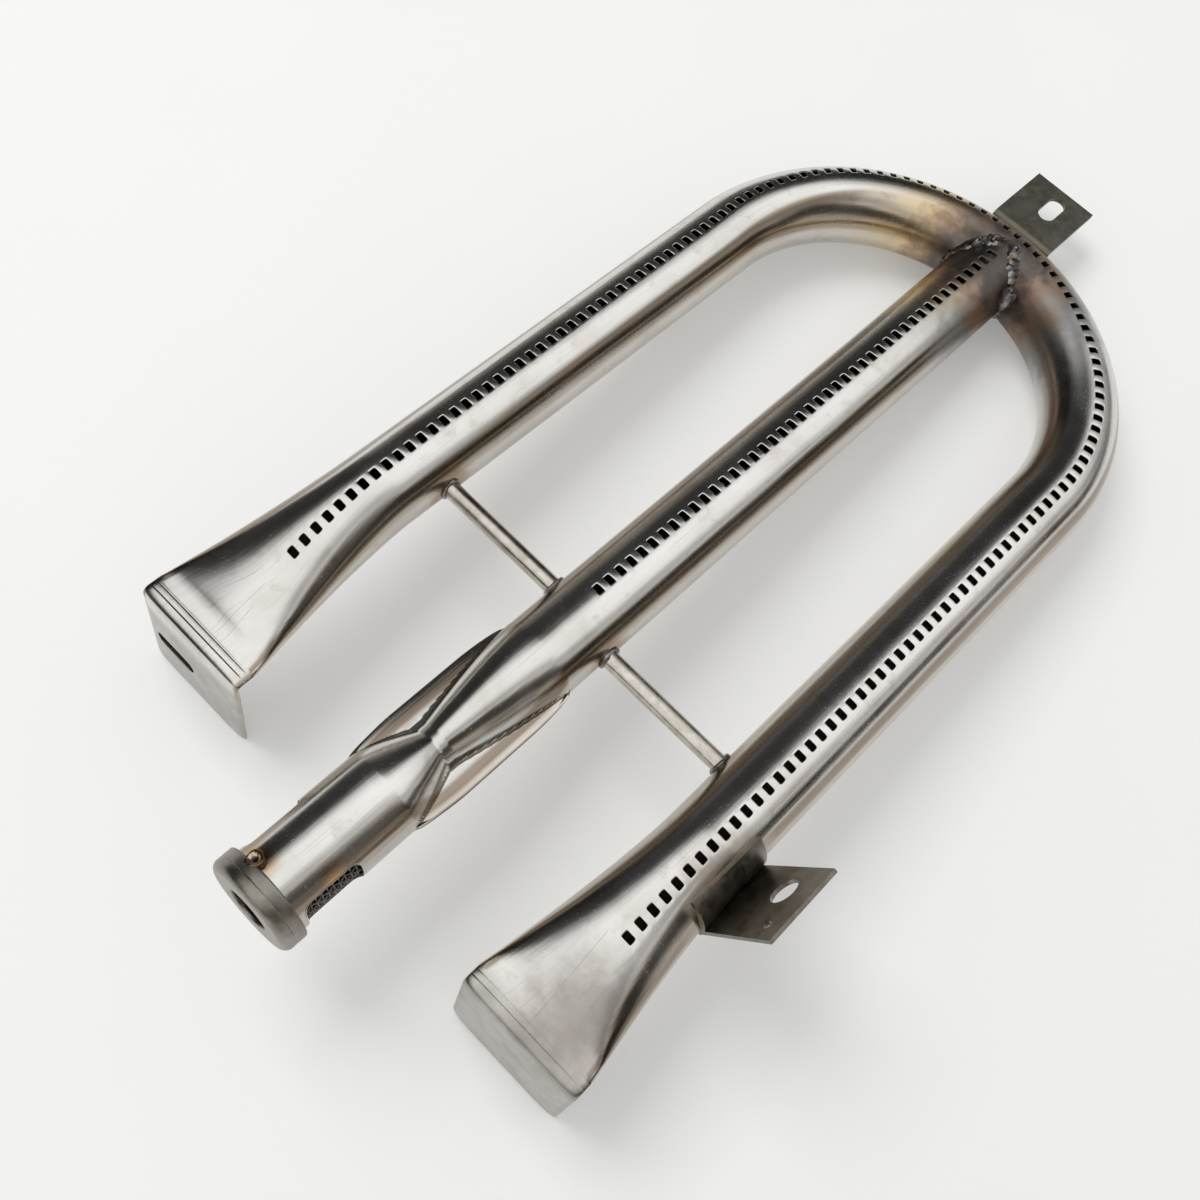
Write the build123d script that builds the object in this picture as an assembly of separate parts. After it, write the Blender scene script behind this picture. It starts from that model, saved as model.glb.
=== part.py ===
"""Three-leg tube burner for a gas grill, with its brackets, braces, air screen and welds.

Row frame: X across the legs, +Y from the gas inlet towards the bend, +Z up (the side the flame
ports are on), origin at the centre of the gas inlet hole on the front face of its cap.  Units: mm.
Everything is drawn from the centre of the U bend, which has the same axes, and moved on writing.
"""
import os
from math import cos, degrees, exp, pi, radians, sin, sqrt

from build123d import *

# ---------------------------------------------------------------- driving dimensions
TUBE_OD = 25.4            # all three legs are one-inch tube
WALL = 1.0                # sheet thickness of the tubes
BEND_R = 68.3             # centre-line radius of the U bend, and distance of each leg from the middle
STEP = 0.15               # small step where a formed length meets a plain round length

PORT_PITCH = 4.46         # flame ports, centre to centre along the tube's centre line
PORT_ACROSS = 3.1
PORT_ALONG = 2.1
OUTER_PORTS = 135         # ports round the U
OUTER_PORTS_MIDDLE = 4.4  # where the middle port lies past the middle of the bend, towards the right leg
CENTRE_PORTS = 44
CENTRE_PORTS_FROM = -134.3
CENTRE_ROW_TILT = -5.0    # degrees the centre row leans to the left
ROW_LEAN = 6.0            # degrees the outer row leans away from the inside of the U
BEND_LEAN = 20.0          # extra lean where the tube was stretched by bending
BEND_LEAN_AT = -38.0
BEND_LEAN_SPAN = 48.0
LEFT_DRIFT = -14.0        # the row drifts back to the inside towards the left end
LEFT_DRIFT_FROM = -150.0
LEFT_DRIFT_TO = -300.0

LEFT_END = 5.0            # the left leg is shorter and the right one longer than drawn below
RIGHT_END = -4.0
FLARE_FROM = -158.0       # legs are round up to here, then flatten
FLARE_TO = -220.6         # where the flat strip starts
FLAT_Z = -4.5             # middle of the two flattened sheets
FLAT_W = 39.9             # half the tube circumference
FLAT_GAP = 0.35           # half gap left inside at the end of the flare
TAB_FACE = -227.0         # outer face of the folded tab
TAB_BOTTOM = -42.5
TAB_BEND = 3.0            # outside radius of the fold
SLOT_LONG = 16.0          # slot in the left tab
SLOT_HIGH = 5.5
SLOT_SHIFT = -8.5
SLOT_Z = -26.5

VENT_TO = -157.0          # venturi: far end, throat, near end
THROAT = -196.0
VENT_FROM = -214.0
FIN_HALF = 15.0           # half width over the two fins
FIN_T = 1.0               # half thickness of a fin
THROAT_HALF = 7.6         # half width of the throat at its foot
THROAT_H = 8.8            # half height of the throat

INLET_END = -256.0        # end of the centre tube, inside the cap
WINDOW_FROM = -231.0      # side air windows
WINDOW_TO = -248.5
WINDOW_H = 14.0
CAP_OD = 28.6
CAP_FRONT = -257.5
CAP_BACK = -250.5
CAP_HOLE = 12.7
CAP_ROUND = 2.2
CAP_WELD_D = 5.2
CAP_WELD_LEAN = -23.0

WIRE = 0.45               # air screen wire
MESH = 1.8                # air screen pitch
SCREEN_FROM = -254.0
SCREEN_TO = -222.5

BAR_D = 5.5               # cross bars
LEFT_BAR_Y = -137.5
RIGHT_BAR_Y = -141.5
BAR_WELD_R = 4.3
BAR_WELD_L = 2.0

REAR_T = 1.6              # bracket on the back of the bend
REAR_X = -1.5
REAR_W = 24.4
REAR_TOP = 6.0
REAR_DOWN = -8.0
REAR_TIP = 110.0
REAR_BEND = 2.6
REAR_SLOT_Y = 99.5
REAR_SLOT_L = 13.0
REAR_SLOT_W = 6.2
REAR_BEAD = 1.7

SIDE_T = 1.2              # bracket on the outer side of the right leg
SIDE_Y = -166.0
SIDE_W = 25.4
SIDE_WRAP_TOP = 52.0      # degrees above level where the saddle starts
SIDE_WRAP_LOW = -14.0     # degrees below level where the tab is folded out
SIDE_RISE = 67.0          # degrees the tab rises from level
SIDE_TAB_L = 35.0
SIDE_BIG_D = 8.6
SIDE_BIG_AT = (22.6, 3.8)     # distance up the tab, offset along the leg
SIDE_SMALL_D = 3.0
SIDE_SMALL_AT = (28.3, -7.7)

TEE_BEAD = 2.1            # half width of the saddle weld beads
FIT = 0.05                # clearance of the coped end before welding

R_OUT = TUBE_OD / 2
R_IN = R_OUT - WALL
N_RING = 64


# ---------------------------------------------------------------- helpers
def across(y, x=0.0, z=0.0):
    """Plane square to the legs at distance y: local x is +X and local y is +Z."""
    return Plane(origin=(x, y, z), x_dir=(1, 0, 0), z_dir=(0, -1, 0))


def rod(y0, y1, radius, x=0.0, z=0.0):
    """Solid round bar parallel to Y."""
    return extrude(across(max(y0, y1), x, z) * Circle(radius), abs(y1 - y0))


def ring_face(y, points):
    """Closed smooth section through (x, z) points at distance y."""
    edge = Spline(*[(x, y, z) for x, z in points], periodic=True)
    return make_face(edge)


def ellipse_side(width):
    """Half height of an ellipse that keeps the girth of the inside of the round tube."""
    low = 0.0
    high = R_IN
    for _ in range(40):
        mid = (low + high) / 2
        girth = pi * (3 * (width + mid) - sqrt((3 * width + mid) * (width + 3 * mid)))
        if girth > 2 * pi * R_IN:
            high = mid
        else:
            low = mid
    return max(low, FLAT_GAP)


# ---------------------------------------------------------------- outer tube
def flare_points(k, offset):
    """Section of the flattened leg end; k runs from 0 (round) to 1 (flat)."""
    offset -= STEP * (1 - k)
    width = R_IN + (FLAT_W / 2 - WALL - STEP - R_IN) * k ** 1.5
    height = ellipse_side(width)
    if k == 0.0:
        height = R_IN
    drop = FLAT_Z * k ** 1.3
    crowd = 0.93 * (1 - height / width)
    points = []
    for i in range(N_RING):
        a = 2 * pi * i / N_RING
        t = a - crowd * sin(2 * a) / 2
        nx = height * cos(t)
        nz = width * sin(t)
        n = sqrt(nx * nx + nz * nz)
        x = width * cos(t) + offset * nx / n
        z = height * sin(t) + offset * nz / n
        points.append((x, z + drop))
    return points


def end_shift(x_leg):
    return LEFT_END if x_leg < 0 else RIGHT_END


def flare(x_leg, offset, y_end):
    """Flattening length of a leg, as a solid grown by an offset beyond the inside."""
    sections = []
    count = 8
    for i in range(count + 1):
        k = i / count
        y = FLARE_FROM + (FLARE_TO - FLARE_FROM) * k
        if i == count:
            y = y_end
        points = [(x + x_leg, z) for x, z in flare_points(k, offset)]
        sections.append(ring_face(y, points))
    return Pos(0, end_shift(x_leg), 0) * loft(sections)


def bend(radius):
    """Half ring of the bend, solid."""
    return revolve(Plane.XZ * Pos(BEND_R, 0) * Circle(radius), Axis.Z, 180)


def u_tube(radius):
    """Round part of the U: two straight lengths and the bend, solid."""
    left = rod(FLARE_FROM + LEFT_END, 0, radius, -BEND_R)
    right = rod(FLARE_FROM + RIGHT_END, 0, radius, BEND_R)
    return bend(radius) + left + right


def folded_end(x_leg):
    """Flat strip, fold and hanging tab: both sheets pressed together."""
    top = FLAT_Z + WALL
    bottom = FLAT_Z - WALL
    inner = TAB_FACE + 2 * WALL
    profile = Polyline(
        (FLARE_TO + 1.5, bottom),
        (FLARE_TO + 1.5, top),
        (TAB_FACE, top),
        (TAB_FACE, TAB_BOTTOM),
        (inner, TAB_BOTTOM),
        (inner, bottom),
        close=True,
    )
    side = Plane(origin=(x_leg - FLAT_W / 2, 0, 0), x_dir=(0, 1, 0), z_dir=(1, 0, 0))
    plate = extrude(side * make_face(profile), FLAT_W)
    outside = [e for e in plate.edges().filter_by(Axis.X)
               if abs(e.center().Y - TAB_FACE) < 0.01 and abs(e.center().Z - top) < 0.01]
    plate = fillet(outside, TAB_BEND)
    inside = [e for e in plate.edges().filter_by(Axis.X)
              if abs(e.center().Y - inner) < 0.01 and abs(e.center().Z - bottom) < 0.01]
    plate = fillet(inside, TAB_BEND - 2 * WALL)
    corners = [e for e in plate.edges().filter_by(Axis.Y)
               if abs(e.center().Z - TAB_BOTTOM) < 0.01]
    return Pos(0, end_shift(x_leg), 0) * fillet(corners, 1.5)


def tab_slot(x_leg):
    slot = across(TAB_FACE + 3, x_leg + SLOT_SHIFT, SLOT_Z) * SlotOverall(SLOT_LONG, SLOT_HIGH)
    return Pos(0, end_shift(x_leg), 0) * extrude(slot, 6)


def row_tilt(s):
    """Lean of the outer port row at distance s from the middle of the bend."""
    away = (s - BEND_LEAN_AT) / BEND_LEAN_SPAN
    drift = max(0.0, (s - LEFT_DRIFT_FROM) / (LEFT_DRIFT_TO - LEFT_DRIFT_FROM))
    return ROW_LEAN + BEND_LEAN * exp(-away * away) + LEFT_DRIFT * drift ** 2


def port_cutters_outer():
    tools = []
    half = OUTER_PORTS // 2
    for i in range(-half, half + 1):
        s = OUTER_PORTS_MIDDLE + i * PORT_PITCH
        turn = max(-pi / 2, min(pi / 2, s / BEND_R))
        run = max(0.0, abs(s) - BEND_R * pi / 2)
        punch = Pos(0, 0, R_OUT / 2 + 3) * Box(PORT_ACROSS, PORT_ALONG, R_OUT)
        punch = Rot(0, row_tilt(s), 0) * punch
        if run > 0 and s < 0:
            place = Pos(-BEND_R, -run, 0) * Rot(0, 0, 180)
        elif run > 0:
            place = Pos(BEND_R, -run, 0)
        else:
            place = Rot(0, 0, 90 - degrees(turn)) * Pos(BEND_R, 0, 0)
        tools.append(place * punch)
    return tools


def make_outer_tube():
    body = u_tube(R_OUT)
    hollow = u_tube(R_IN)
    for x_leg in (-BEND_R, BEND_R):
        body += flare(x_leg, WALL, FLARE_TO)
        body += folded_end(x_leg)
        hollow += flare(x_leg, 0.0, FLARE_TO + 1.0)
    body -= hollow
    body -= rod(BEND_R - R_OUT - 6, BEND_R, R_IN - 0.9)
    body -= tab_slot(-BEND_R)
    return body - port_cutters_outer()


# ---------------------------------------------------------------- centre tube
def vent_points(pinch, spread, offset):
    """Pinched section: a bell-shaped body with a flat fin on each side at mid height.

    pinch runs from 0 (round) to 1 (throat); spread from 0 to 1 over the length of the fins.
    """
    inner = offset > 0
    foot = R_OUT - (R_OUT - THROAT_HALF) * pinch - offset * (1 + 0.3 * pinch) - STEP
    height = R_OUT - (R_OUT - THROAT_H) * pinch - offset - STEP
    power = 0.5 + 0.7 * pinch
    reach = foot if inner else foot + (FIN_HALF - foot) * spread
    thick = 0.0 if inner else FIN_T * spread
    points = []
    for i in range(N_RING):
        a = 2 * pi * i / N_RING
        x = reach * cos(a)
        u = min(1.0, abs(x / foot))
        bell = height * (max(0.0, 1 - u * u)) ** power
        tip = thick * sqrt(max(0.0, 1 - cos(a) ** 8))
        z = (bell ** 3 + tip ** 3) ** (1 / 3)
        if inner and pinch > 0:
            z = max(z, 0.35 * abs(sin(a)))
        points.append((x, z if sin(a) >= 0 else -z))
    return points


def vent_part(y_round, y_throat, offset):
    """One side of the venturi, from the round tube to the crease at the throat."""
    length = abs(y_throat - y_round)
    steps = 7
    sections = []
    for i in range(steps + 1):
        k = i / steps
        y = y_round + (y_throat - y_round) * k
        spread = min(1.0, k * length / 9.0)
        spread = spread * spread * (3 - 2 * spread)
        sections.append(ring_face(y, vent_points(k ** 1.15, spread, offset)))
    return loft(sections)


def port_cutters_centre():
    tools = []
    for i in range(CENTRE_PORTS):
        punch = Pos(0, 0, R_OUT / 2 + 3) * Box(PORT_ACROSS, PORT_ALONG, R_OUT)
        punch = Rot(0, CENTRE_ROW_TILT, 0) * punch
        tools.append(Pos(0, CENTRE_PORTS_FROM + i * PORT_PITCH, 0) * punch)
    return tools


def window_cutter():
    middle = (WINDOW_FROM + WINDOW_TO) / 2
    face = RectangleRounded(WINDOW_FROM - WINDOW_TO, WINDOW_H, 2.5)
    return extrude(Plane.YZ.offset(-20) * Pos(middle, 0) * face, 40)


def make_centre_tube():
    far = BEND_R
    body = rod(INLET_END, VENT_FROM, R_OUT) + rod(VENT_TO, far, R_OUT)
    body = body + vent_part(VENT_FROM, THROAT, 0.0) + vent_part(VENT_TO, THROAT, 0.0)
    hollow = rod(INLET_END, VENT_FROM, R_IN) + rod(VENT_TO, far, R_IN)
    hollow = hollow + vent_part(VENT_FROM, THROAT, WALL) + vent_part(VENT_TO, THROAT, WALL)
    body = body - hollow
    body = body - bend(R_OUT + FIT)
    body = body - window_cutter()
    return body - port_cutters_centre()


# ---------------------------------------------------------------- inlet parts
def cap_weld_place(shape):
    """Stand a shape on the upper left of the tube, over the back rim of the cap."""
    return Pos(0, CAP_BACK + 0.6, 0) * Rot(0, CAP_WELD_LEAN, 0) * Pos(0, 0, R_OUT) * shape


def make_inlet_cap():
    cup = rod(CAP_FRONT, CAP_BACK, CAP_OD / 2)
    front = [e for e in cup.edges().filter_by(GeomType.CIRCLE) if abs(e.center().Y - CAP_FRONT) < 0.01]
    cup = fillet(front, CAP_ROUND)
    cup -= rod(INLET_END, CAP_BACK + 1, R_OUT)
    cup -= rod(CAP_FRONT - 1, INLET_END + 1, CAP_HOLE / 2)
    return cup - cap_weld_place(Cylinder(CAP_WELD_D / 2, 8))


def make_air_screen():
    """Fine wire mesh rolled into a sleeve: hoops outside, straight wires inside."""
    hoop_r = R_IN - WIRE / 2 - 0.05
    line_r = hoop_r - WIRE
    count = int((SCREEN_TO - SCREEN_FROM) / MESH)
    wires = []
    for i in range(count + 1):
        hoop = Plane.XY * Pos(hoop_r, 0) * Circle(WIRE / 2)
        ring = revolve(hoop, Axis.Y, 360)
        wires.append(Pos(0, SCREEN_FROM + 0.5 + i * MESH, 0) * ring)
    lines = round(2 * pi * line_r / MESH)
    for i in range(lines):
        a = 2 * pi * i / lines
        wires.append(rod(SCREEN_FROM, SCREEN_TO, WIRE / 2, line_r * cos(a), line_r * sin(a)))
    return Compound(children=[w.solid() for w in wires])


def make_inlet_cap_weld():
    """Plug weld that holds the cap: a button with a crater, half in the cap and half on the tube."""
    height = CAP_OD / 2 + 0.1 - R_OUT
    button = Pos(0, 0, height / 2 - 0.5) * Cylinder(CAP_WELD_D / 2, height + 1)
    rims = button.faces().sort_by(Axis.Z)[-1].edges()
    button = fillet(rims, 0.5)
    button -= Pos(0, 0, height + 2.2) * Sphere(2.7)
    return cap_weld_place(button) - rod(CAP_FRONT, CAP_BACK + 10, R_OUT)


# ---------------------------------------------------------------- cross bars and their welds
def bar_y(side):
    return LEFT_BAR_Y if side < 0 else RIGHT_BAR_Y


def make_crossbar(side):
    reach = R_OUT - 1
    bar = extrude(Plane.YZ.offset(side * reach) * Circle(BAR_D / 2), side * (BEND_R - 2 * reach))
    y = bar_y(side)
    bar = Pos(0, y, 0) * bar
    return bar - rod(y - 8, y + 8, R_OUT) - rod(y - 8, y + 8, R_OUT, side * BEND_R)


def make_crossbar_welds():
    welds = []
    for side in (-1, 1):
        y = bar_y(side)
        for x_tube, away in ((0.0, 1), (BEND_R, -1)):
            start = side * x_tube + side * away * (R_OUT - 0.9)
            plane = Plane(origin=(start, y, 0), x_dir=(0, 1, 0), z_dir=(side * away, 0, 0))
            collar = plane * Cone(BAR_WELD_R, BAR_D / 2 + 0.1, BAR_WELD_L + 0.9,
                                  align=(Align.CENTER, Align.CENTER, Align.MIN))
            collar -= rod(y - 8, y + 8, R_OUT, side * x_tube)
            core = extrude(plane * Circle(BAR_D / 2), BAR_WELD_L + 2)
            welds.append((collar - core).solid())
    return Compound(children=welds)


# ---------------------------------------------------------------- brackets
def make_rear_bracket():
    back = BEND_R + R_OUT
    profile = Polyline(
        (back, REAR_DOWN),
        (back, REAR_TOP),
        (REAR_TIP, REAR_TOP),
        (REAR_TIP, REAR_TOP - REAR_T),
        (back + REAR_T, REAR_TOP - REAR_T),
        (back + REAR_T, REAR_DOWN),
        close=True,
    )
    side = Plane(origin=(REAR_X - REAR_W / 2, 0, 0), x_dir=(0, 1, 0), z_dir=(1, 0, 0))
    plate = extrude(side * make_face(profile), REAR_W)
    outside = [e for e in plate.edges().filter_by(Axis.X)
               if abs(e.center().Y - back) < 0.01 and abs(e.center().Z - REAR_TOP) < 0.01]
    plate = fillet(outside, REAR_BEND)
    inside = [e for e in plate.edges().filter_by(Axis.X)
              if abs(e.center().Y - back - REAR_T) < 0.01 and abs(e.center().Z - REAR_TOP + REAR_T) < 0.01]
    plate = fillet(inside, REAR_BEND - REAR_T)
    slot = Pos(REAR_X + 0.9, REAR_SLOT_Y, 0) * Rot(0, 0, 90) * SlotOverall(REAR_SLOT_L, REAR_SLOT_W)
    return plate - extrude(slot, 12)


def make_rear_bracket_welds():
    """A short upright bead down each edge of the flange, filling the gap to the round of the bend."""
    beads = []
    flange = Pos(REAR_X, BEND_R + R_OUT + REAR_T / 2, 0) * Box(REAR_W, REAR_T, 40)
    for side in (-1, 1):
        x = REAR_X + side * REAR_W / 2
        y = sqrt((BEND_R + R_OUT) ** 2 - x * x)
        bead = Pos(x, y + 0.6, -2.0) * Cylinder(REAR_BEAD, 9.0)
        bead = fillet(bead.edges(), REAR_BEAD * 0.7)
        beads.append((bead - bend(R_OUT) - flange).solid())
    return Compound(children=beads)


def leg_end(offset):
    """Right leg from its round part through the flare, grown by an offset beyond the inside."""
    start = FLARE_FROM + RIGHT_END
    return rod(start, start + 30, R_IN + offset, BEND_R) + flare(BEND_R, offset, FLARE_TO)


def make_side_bracket():
    """Saddle formed to the leg, folded back at its lower edge into a flat tab that rises outwards."""
    low = radians(SIDE_WRAP_LOW)
    top = radians(SIDE_WRAP_TOP)
    far = 40.0
    wedge = Polyline((0, 0), (far * cos(low), far * sin(low)), (far * cos(top), far * sin(top)), close=True)
    strip = across(SIDE_Y + SIDE_W / 2, BEND_R)
    wedge = extrude(strip * make_face(wedge), SIDE_W)
    saddle = leg_end(WALL + SIDE_T) & wedge
    reach = R_OUT + SIDE_T / 2
    turn = Pos(reach * cos(low), reach * sin(low)) * Rot(0, 0, SIDE_RISE)
    plate = turn * Pos(SIDE_TAB_L / 2, -SIDE_T / 2) * Rectangle(SIDE_TAB_L, SIDE_T)
    bracket = saddle + extrude(strip * plate, SIDE_W)
    up = radians(SIDE_RISE)
    for diameter, place in ((SIDE_BIG_D, SIDE_BIG_AT), (SIDE_SMALL_D, SIDE_SMALL_AT)):
        x = BEND_R + reach * cos(low) + place[0] * cos(up)
        z = reach * sin(low) + place[0] * sin(up)
        face = Plane(origin=(x, SIDE_Y + place[1], z), x_dir=(0, 1, 0), z_dir=(sin(up), 0, -cos(up)))
        bracket -= extrude(face * Circle(diameter / 2), 4, both=True)
    return bracket - leg_end(WALL)


# ---------------------------------------------------------------- saddle welds
def make_tee_weld(side):
    """Bead along one side of the joint between the centre tube and the inside of the bend."""
    points = []
    count = 15
    for i in range(count):
        a = radians(14 + (166 - 14) * i / (count - 1))
        r = R_OUT + 0.35
        x = r * sin(a)
        z = r * cos(a)
        ring = BEND_R - sqrt(max(0.0, (r * r) - z * z))
        y = sqrt(ring * ring - x * x)
        points.append((side * x, y - 0.3, z))
    path = Spline(*points)
    start = path @ 0
    plane = Plane(origin=start, z_dir=path % 0)
    bead = sweep(plane * Circle(TEE_BEAD), path=path)
    return bead - bend(R_OUT) - rod(0, BEND_R, R_OUT)


# ---------------------------------------------------------------- output
def build():
    return {
        "outer_tube": make_outer_tube(),
        "centre_tube": make_centre_tube(),
        "inlet_cap": make_inlet_cap(),
        "inlet_cap_weld": make_inlet_cap_weld(),
        "air_screen": make_air_screen(),
        "crossbar_left": make_crossbar(-1),
        "crossbar_right": make_crossbar(1),
        "crossbar_welds": make_crossbar_welds(),
        "rear_bracket": make_rear_bracket(),
        "rear_bracket_welds": make_rear_bracket_welds(),
        "side_bracket": make_side_bracket(),
        "tee_weld_left": make_tee_weld(-1),
        "tee_weld_right": make_tee_weld(1),
    }


os.makedirs("parts", exist_ok=True)
for name, shape in build().items():
    placed = Pos(0, -CAP_FRONT, 0) * shape
    export_step(placed, "parts/" + name + ".step")
    print(name, len(placed.solids()), round(placed.volume, 1))
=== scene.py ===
import math

import bpy
import numpy as np
from mathutils import Matrix, Vector, noise


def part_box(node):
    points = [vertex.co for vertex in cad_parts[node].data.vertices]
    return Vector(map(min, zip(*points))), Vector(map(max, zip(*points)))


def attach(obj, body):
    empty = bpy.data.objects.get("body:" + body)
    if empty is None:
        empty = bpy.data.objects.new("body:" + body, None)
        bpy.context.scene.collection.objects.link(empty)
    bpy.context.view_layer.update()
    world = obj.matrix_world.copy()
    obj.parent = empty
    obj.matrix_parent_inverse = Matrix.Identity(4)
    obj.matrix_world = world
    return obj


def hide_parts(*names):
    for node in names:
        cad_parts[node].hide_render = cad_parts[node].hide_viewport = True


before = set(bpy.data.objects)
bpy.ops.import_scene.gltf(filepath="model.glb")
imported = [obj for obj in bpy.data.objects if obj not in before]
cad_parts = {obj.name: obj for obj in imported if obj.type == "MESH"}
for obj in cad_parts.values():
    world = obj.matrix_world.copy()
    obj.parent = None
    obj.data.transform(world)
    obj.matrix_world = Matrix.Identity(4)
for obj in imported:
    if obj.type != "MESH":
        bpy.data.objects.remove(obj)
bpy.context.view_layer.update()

# ---------------------------------------------------------------- sizes
# read from the CAD; each leg's end is moved along the leg by RIGHT_END or LEFT_END
outer_lo, outer_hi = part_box("outer_tube")
centre_lo, centre_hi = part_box("centre_tube")
left_lo, left_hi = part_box("crossbar_left")
right_lo, right_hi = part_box("crossbar_right")
cap_lo, cap_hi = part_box("inlet_cap")
R_OUT = round((centre_hi.z - centre_lo.z) * 500, 2)
LEG = round((right_lo.x + right_hi.x) * 1000, 2)
BEND_Y = round(outer_hi.y * 1000 - LEG - R_OUT, 2)
RIGHT_END = -4.0
LEFT_END = 5.0
TAB_FACE = outer_lo.y * 1000 - BEND_Y - RIGHT_END
TAB_BOTTOM = outer_lo.z * 1000
FLAT_HALF = outer_hi.x * 1000 - LEG
BAR_Y = {-1: (left_lo.y + left_hi.y) * 500 - BEND_Y, 1: (right_lo.y + right_hi.y) * 500 - BEND_Y}
BAR_R = (right_hi.z - right_lo.z) * 500
CAP_R = (cap_hi.z - cap_lo.z) * 500
CAP_FRONT = cap_lo.y * 1000 - BEND_Y
CAP_BACK = cap_hi.y * 1000 - BEND_Y

# the CAD's other driving sizes
WALL = 1.0
R_IN = R_OUT - WALL
PITCH = 4.46
PORT_ACROSS = 3.1
PORT_ALONG = 2.1
OUTER_PORTS = 135
OUTER_PORTS_MIDDLE = 4.4
CENTRE_PORTS = 44
CENTRE_PORTS_FROM = -134.3
CENTRE_TILT = -5.0
FLARE_FROM = 158.0
FLARE_TO = 220.6
FLAT_Z = -4.5
FLAT_GAP = 0.35
FOLD_R = 2.0
SLOT = (-8.5, -26.5, 16.0, 5.5)
VENT_TO = -157.0
THROAT = -196.0
VENT_FROM = -214.0
FIN_HALF = 15.0
FIN_T = 1.0
THROAT_HALF = 7.6
THROAT_H = 8.8
INLET_END = -256.0
WINDOW = (-239.75, 17.5, 14.0)
CAP_HOLE_R = 6.35
CAP_WELD_LEAN = -23.0
TAB_CORNER = 1.5
WINDOW_CORNER = 2.5
SCREEN_FROM = -253.5

# worked out from them
QUARTER = LEG * math.pi / 2
DEGREE_ARC = R_OUT * math.pi / 180
FOLD_ARC = FOLD_R * math.pi / 2
TAB_FOLD = -TAB_FACE - WALL - FOLD_R
TAB_HALF = FLAT_HALF - 0.02

# how the outer port row leans round the tube, in degrees, at distances along the row
LEAN = 6.0
LEAN_BEND = 20.0
LEAN_BEND_AT = -38.0
LEAN_BEND_OVER = 48.0
LEAN_LEFT = 14.0
LEAN_LEFT_FROM = -150.0
LEAN_LEFT_OVER = 150.0

# how the meshes are laid out: cells of a port, crowding towards a flat tube's edges, where the
# columns straighten before a tab, where the fins reach their width, where the cope starts, and the
# small step that slopes are measured over
PORT_COLUMNS = 6
PORT_ROWS = 4
PORT_CELL = 3.5
CROWD = 0.93
STRAIGHT_FROM = 196.0
STRAIGHT_OVER = 14.0
FIN_RISE = 17.0
COPE_FROM = 60.0
STEP = 0.05


# ---------------------------------------------------------------- mesh helpers
def to_row(p):
    """Millimetres from the bend's centre to metres in the row frame."""
    return (p[0] / 1000, (p[1] + BEND_Y) / 1000, p[2] / 1000)


class Skin:
    """Points, faces and lengthwise marks of one mesh, collected in millimetres."""

    def __init__(self):
        self.points = []
        self.marks = []
        self.faces = []

    def add(self, point, mark=(0.0, 0.0)):
        self.points.append(tuple(float(c) for c in point))
        self.marks.append(mark)
        return len(self.points) - 1

    def strip(self, first, second):
        """Quads between two rings of point numbers."""
        for i in range(len(first)):
            j = (i + 1) % len(first)
            self.faces.append((first[i], first[j], second[j], second[i]))

    def stack(self, rings):
        for one, two in zip(rings, rings[1:]):
            self.strip(one, two)

    def make(self, name, material, slot, nodes, flip=False):
        """One smooth piece, riding on the only body and standing in for its CAD nodes."""
        mesh = bpy.data.meshes.new(name)
        faces = [f[::-1] for f in self.faces] if flip else self.faces
        mesh.from_pydata([to_row(p) for p in self.points], [], faces)
        marks = mesh.uv_layers.new(name="Along")
        for polygon in mesh.polygons:
            around = [self.marks[v][0] for v in polygon.vertices]
            top = max(around)
            for loop, u in zip(polygon.loop_indices, around):
                v = self.marks[mesh.loops[loop].vertex_index][1]
                marks.data[loop].uv = ((u + 80.0 if top - u > 40 else u) / 100, v / 100)
        mesh.polygons.foreach_set("use_smooth", [True] * len(mesh.polygons))
        mesh.materials.append(material)
        mesh.update()
        piece = bpy.data.objects.new(name, mesh)
        bpy.context.scene.collection.objects.link(piece)
        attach(piece, "root")
        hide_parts(*nodes)
        return piece


def thicken(piece, amount, inside):
    """Give a tube skin its wall, with the inner face and rims in their own dark material, painted shade."""
    piece.data.materials.append(inside)
    solid = piece.modifiers.new("Sheet", "SOLIDIFY")
    solid.thickness = amount / 1000
    solid.offset = -1.0
    solid.material_offset = 1
    solid.material_offset_rim = 1


def soften(piece, width):
    """Small rounded edges that catch the light."""
    bevel = piece.modifiers.new("Edges", "BEVEL")
    bevel.width = width / 1000
    bevel.segments = 2
    bevel.limit_method = "ANGLE"
    bevel.angle_limit = math.radians(40)
    bevel.harden_normals = True


def wobble(x, y, z, scale):
    """Smooth unevenness, the same on every run."""
    return noise.noise(Vector((x * scale, y * scale, z * scale)))


def columns(middle, rest):
    """Angles round a tube: even cells beside the port row at middle, then the rest of the circle."""
    half = PORT_CELL * PORT_COLUMNS / 2
    near = [middle - half + PORT_CELL * i for i in range(PORT_COLUMNS + 1)]
    far = np.linspace(middle + half, middle + 360 - half, rest + 1)[1:-1]
    return near + list(far)


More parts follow.
